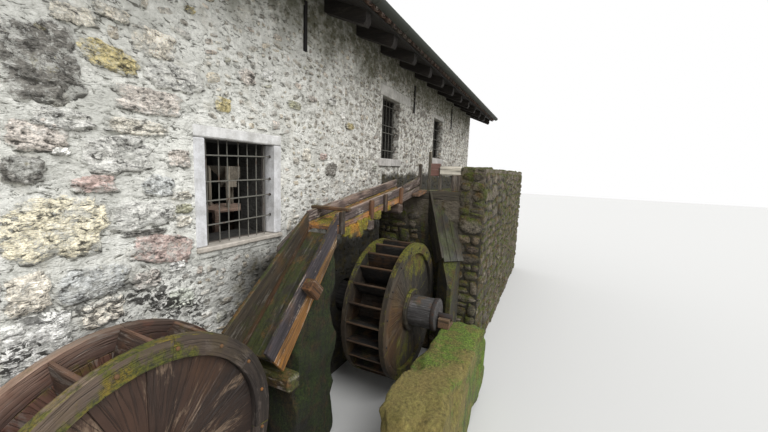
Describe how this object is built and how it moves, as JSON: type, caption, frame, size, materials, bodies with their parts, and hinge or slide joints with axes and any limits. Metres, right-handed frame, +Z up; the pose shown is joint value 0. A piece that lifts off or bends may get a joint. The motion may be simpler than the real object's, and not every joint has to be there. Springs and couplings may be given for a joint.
{
  "type": "watermill",
  "caption": "Stone watermill with timber water wheels on one wall, fed by a plank trough and chute from a walled headrace with a sluice.",
  "frame": {"origin": "middle of the base, on the level of the footings", "axes": "+X along the wheel wall away from the near gable, +Y from the wheel wall into the house, +Z up"},
  "size_m": [17.3, 9.84, 7.5505],
  "materials": {
    "rubble_wall": "rubble smeared with lime mortar",
    "cut_stone": "sawn and worn",
    "mossy_stone": "rough and mossy",
    "rusty_iron": "rusted",
    "gutter_metal": "weathered matt",
    "clay_tiles": "weathered clay with lichen",
    "dark_timber": "dark weathered",
    "dry_timber": "worn boards",
    "gate_board": "wet red brown",
    "wheel_timber": "wet, mossy and worn",
    "bearing_timber": "wet, stained with rust",
    "wet_timber": "wet and mossy"
  },
  "bodies": {
    "mill": {"front_wall": "rubble_wall", "back_wall": "rubble_wall", "gable_walls": "rubble_wall", "beam_filling": "rubble_wall", "mill_floor": "dry_timber", "back_door": "dry_timber", "front_window_stones": "cut_stone", "back_window_stones": "cut_stone", "wall_anchors": "rusty_iron", "mill_bench": "dry_timber", "grain_hopper": "dry_timber", "rafters": "dark_timber", "ridge_beam": "dark_timber", "roof_boards": "dark_timber", "roof_covering": "clay_tiles", "ridge_tiles": "clay_tiles", "gutters": "gutter_metal", "trough_sides": "wet_timber", "trough_floor": "wet_timber", "flume_cleats": "wet_timber", "trough_head_board": "wet_timber", "flume_bearers": "wet_timber", "chute_outer_side": "wet_timber", "chute_inner_side": "wet_timber", "chute_floor": "wet_timber", "splash_board": "wet_timber", "chute_pier": "mossy_stone", "sluice_frame": "wet_timber", "feed_board": "wet_timber", "spillway_side": "wet_timber", "spillway_floor": "wet_timber", "headrace_wall": "mossy_stone", "headrace_bed": "mossy_stone", "bearing_piers": "mossy_stone", "bearings": "bearing_timber"},
    "wheel_1": {"wheel_1_outer_side": "wheel_timber", "wheel_1_inner_side": "wheel_timber", "wheel_1_bucket_boards": "wheel_timber", "wheel_1_drum": "wheel_timber", "wheel_1_shaft": "wheel_timber", "wheel_1_bands": "rusty_iron"},
    "wheel_2": {"wheel_2_outer_side": "wheel_timber", "wheel_2_inner_side": "wheel_timber", "wheel_2_bucket_boards": "wheel_timber", "wheel_2_drum": "wheel_timber", "wheel_2_shaft": "wheel_timber", "wheel_2_bands": "rusty_iron"},
    "gate": {"sluice_gate": "gate_board"}
  },
  "joints": [
    {"name": "wheel_1_spin", "type": "hinge", "parent": "mill", "child": "wheel_1", "pos_m": [-5, -2.76, 1.26], "axis": [0, 1, 0], "continuous": true},
    {"name": "wheel_2_spin", "type": "hinge", "parent": "mill", "child": "wheel_2", "pos_m": [-1.17, -3.09, 1.35], "axis": [0, 1, 0], "continuous": true},
    {"name": "gate_slide", "type": "slide", "parent": "mill", "child": "gate", "axis": [0, 0, 1], "range_m": [-0.26, 0.1]}
  ]
}
